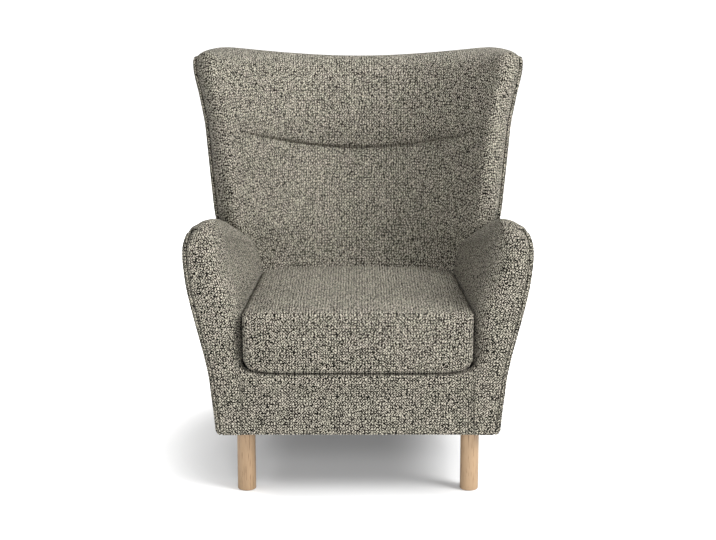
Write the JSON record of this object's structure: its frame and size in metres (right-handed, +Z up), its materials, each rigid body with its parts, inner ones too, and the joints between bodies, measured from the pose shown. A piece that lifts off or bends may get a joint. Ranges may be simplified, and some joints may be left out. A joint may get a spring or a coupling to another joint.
{
  "type": "wingback armchair",
  "caption": "High-backed wing armchair in mixed woven fabric, with curved wings, a sewn head channel, rounded flared arms, a loose seat cushion and round wooden legs",
  "frame": {"origin": "on the floor, under the middle of the chair's bounding box", "axes": "+Z up, +Y to the rear, +X to the right of a viewer who stands in front of the chair; the chair is the same on both sides of X = 0"},
  "size_m": [0.863, 0.8205, 1.0449],
  "materials": {
    "woven_fabric": "chunky mixed weave, dark olive grey and cream yarns",
    "leg_wood": "pale wood, matt lacquer",
    "frame_wood": "raw sawn wood and plywood",
    "foam": "open cell foam",
    "lining_fabric": "black lining cloth and webbing",
    "spring_steel": "plain steel",
    "glide_plastic": "black plastic"
  },
  "bodies": {
    "chair": {"arm_board_left": "frame_wood", "arm_board_right": "frame_wood", "arm_piping_left": "woven_fabric", "arm_piping_right": "woven_fabric", "arm_rail_left": "frame_wood", "arm_rail_right": "frame_wood", "arm_stump_left": "frame_wood", "arm_stump_right": "frame_wood", "back_low_rail": "frame_wood", "back_mid_rail": "frame_wood", "back_piping": "woven_fabric", "back_post_left": "frame_wood", "back_post_right": "frame_wood", "back_strap_1": "lining_fabric", "back_strap_2": "lining_fabric", "back_strap_3": "lining_fabric", "back_top_rail": "frame_wood", "base_rear_rail": "frame_wood", "corner_block_front_left": "frame_wood", "corner_block_front_right": "frame_wood", "corner_block_rear_left": "frame_wood", "corner_block_rear_right": "frame_wood", "dust_cover": "lining_fabric", "front_border": "woven_fabric", "front_rail": "frame_wood", "glide_front_left": "glide_plastic", "glide_front_right": "glide_plastic", "glide_rear_left": "glide_plastic", "glide_rear_right": "glide_plastic", "inside_arm_left": "woven_fabric", "inside_arm_right": "woven_fabric", "inside_back": "woven_fabric", "leg_bolt_front_left": "spring_steel", "leg_bolt_front_right": "spring_steel", "leg_bolt_rear_left": "spring_steel", "leg_bolt_rear_right": "spring_steel", "leg_front_left": "leg_wood", "leg_front_right": "leg_wood", "leg_nut_front_left": "spring_steel", "leg_nut_front_right": "spring_steel", "leg_nut_rear_left": "spring_steel", "leg_nut_rear_right": "spring_steel", "leg_rear_left": "leg_wood", "leg_rear_right": "leg_wood", "outside_arm_left": "woven_fabric", "outside_arm_right": "woven_fabric", "outside_back": "woven_fabric", "seat_deck": "lining_fabric", "seat_rear_rail": "frame_wood", "seat_spring_1": "spring_steel", "seat_spring_2": "spring_steel", "seat_spring_3": "spring_steel", "seat_spring_4": "spring_steel", "seat_spring_5": "spring_steel", "side_rail_left": "frame_wood", "side_rail_right": "frame_wood", "wing_frame_left": "frame_wood", "wing_frame_right": "frame_wood"},
    "cushion": {"seat_cushion_cover": "woven_fabric", "seat_cushion_core": "foam"}
  },
  "joints": [
    {"name": "cushion_lift", "type": "slide", "parent": "chair", "child": "cushion", "axis": [0, -0.1961, 0.9806], "range_m": [0, 0.2]}
  ]
}
